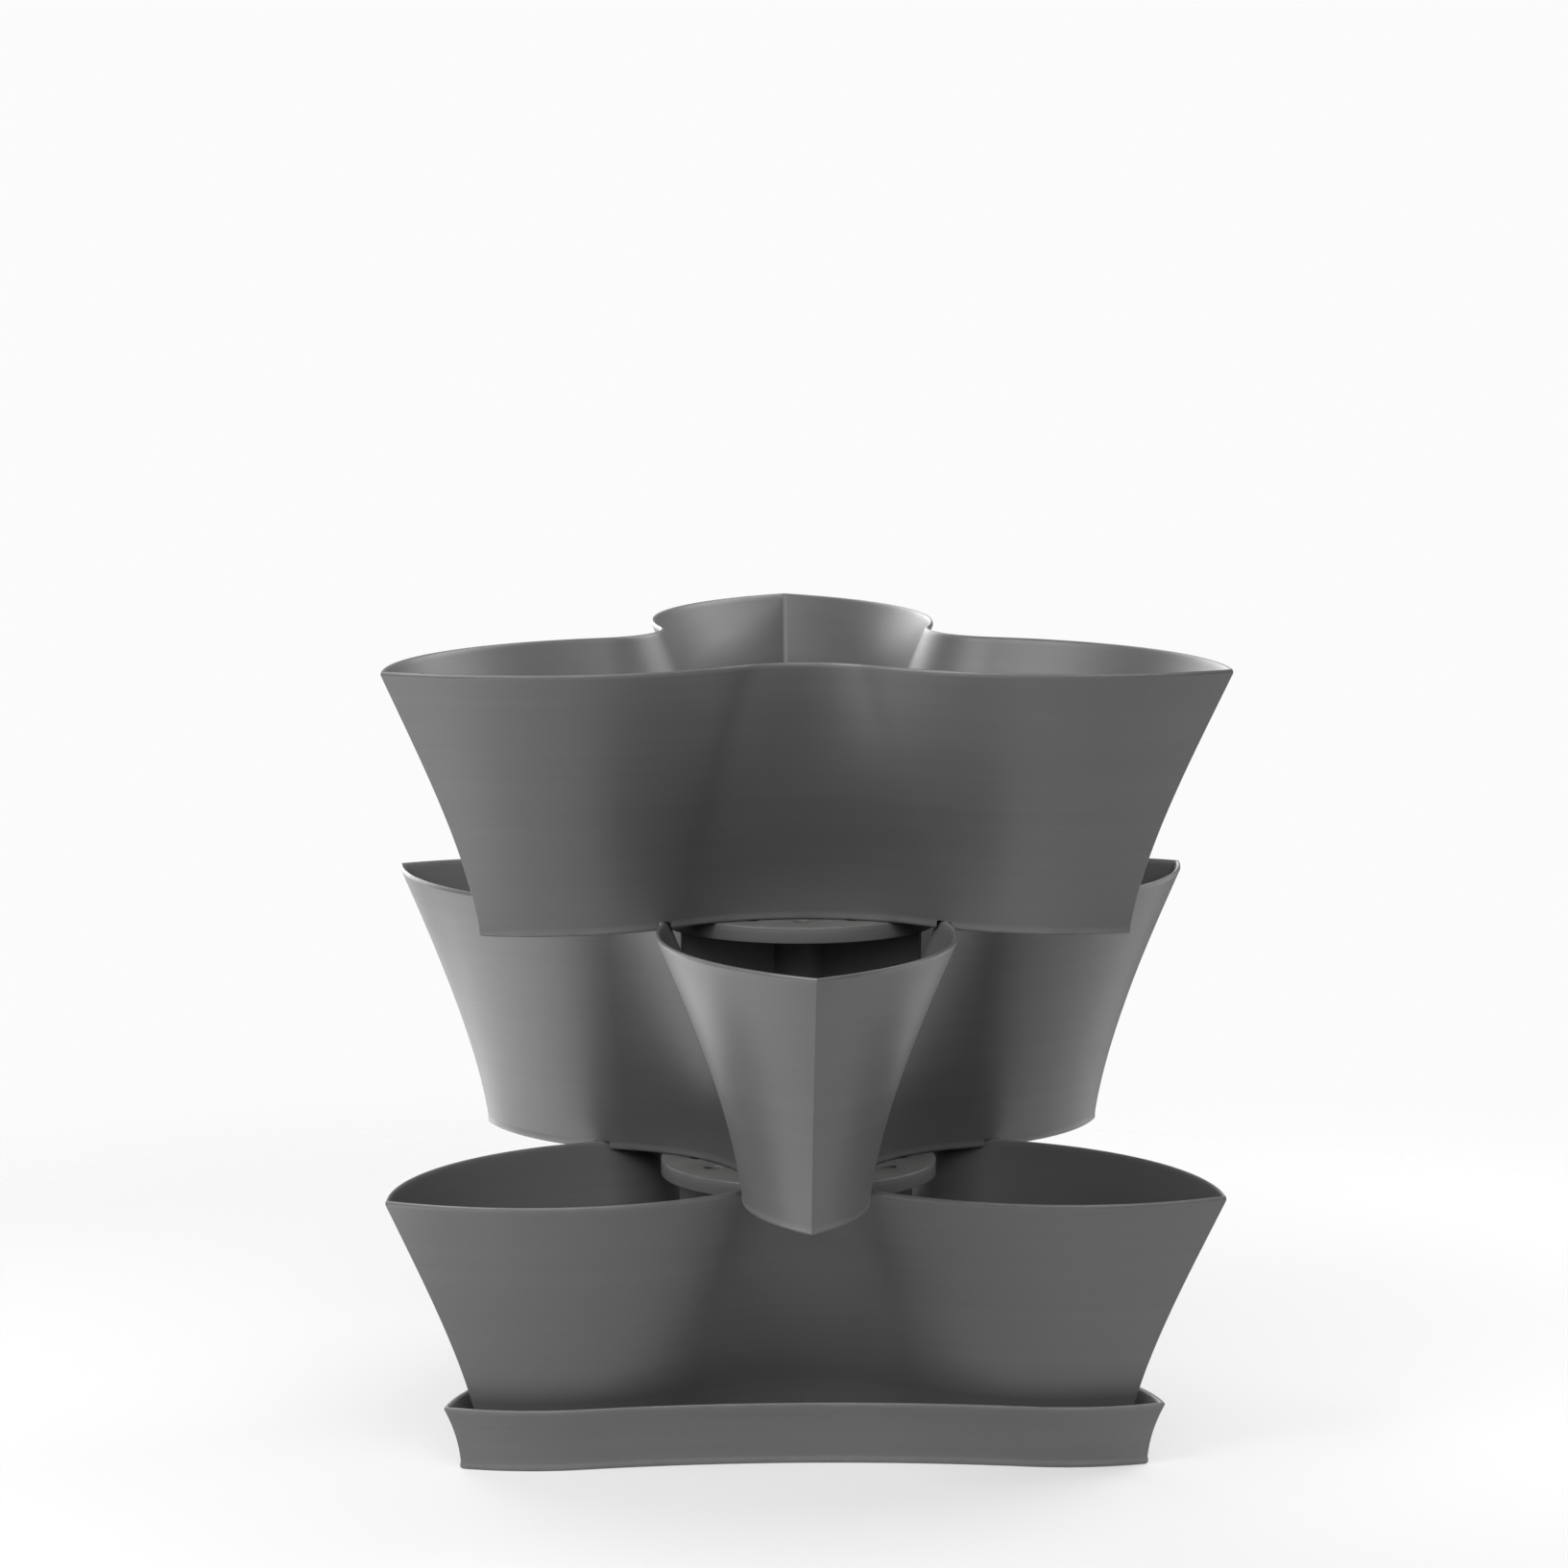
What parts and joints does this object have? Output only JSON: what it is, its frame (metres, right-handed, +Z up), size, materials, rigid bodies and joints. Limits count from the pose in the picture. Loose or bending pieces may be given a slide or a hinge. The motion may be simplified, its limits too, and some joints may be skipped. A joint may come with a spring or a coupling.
{
  "type": "vertical planter",
  "caption": "Free-standing vertical planter: trefoil pots stacked on one axis, each turned so that its lobes clear the pot below, with a deck support inside each lower pot and a trefoil saucer.",
  "frame": {"origin": "centre of the saucer's underside, on the axis of the stack", "axes": "+Z up the axis of the stack, -Y to the front, where a lobe of the middle pot points"},
  "size_m": [0.4062, 0.469, 0.394],
  "materials": {
    "pot_plastic": "matt, neutral mid grey, moulded",
    "support_plastic": "matt, neutral grey, moulded"
  },
  "bodies": {
    "saucer": {"saucer": "pot_plastic"},
    "bottom_pot": {"bottom_pot": "pot_plastic"},
    "lower_support": {"lower_support": "support_plastic"},
    "middle_pot": {"middle_pot": "pot_plastic"},
    "upper_support": {"upper_support": "support_plastic"},
    "top_pot": {"top_pot": "pot_plastic"}
  },
  "joints": [
    {"name": "bottom_pot_lift", "type": "slide", "parent": "saucer", "child": "bottom_pot", "axis": [0, 0, 1], "range_m": [0, 0.06]},
    {"name": "lower_support_lift", "type": "slide", "parent": "bottom_pot", "child": "lower_support", "axis": [0, 0, 1], "range_m": [0, 0.15]},
    {"name": "middle_pot_lift", "type": "slide", "parent": "lower_support", "child": "middle_pot", "axis": [0, 0, 1], "range_m": [0, 0.06]},
    {"name": "upper_support_lift", "type": "slide", "parent": "middle_pot", "child": "upper_support", "axis": [0, 0, 1], "range_m": [0, 0.15]},
    {"name": "top_pot_lift", "type": "slide", "parent": "upper_support", "child": "top_pot", "axis": [0, 0, 1], "range_m": [0, 0.06]}
  ]
}
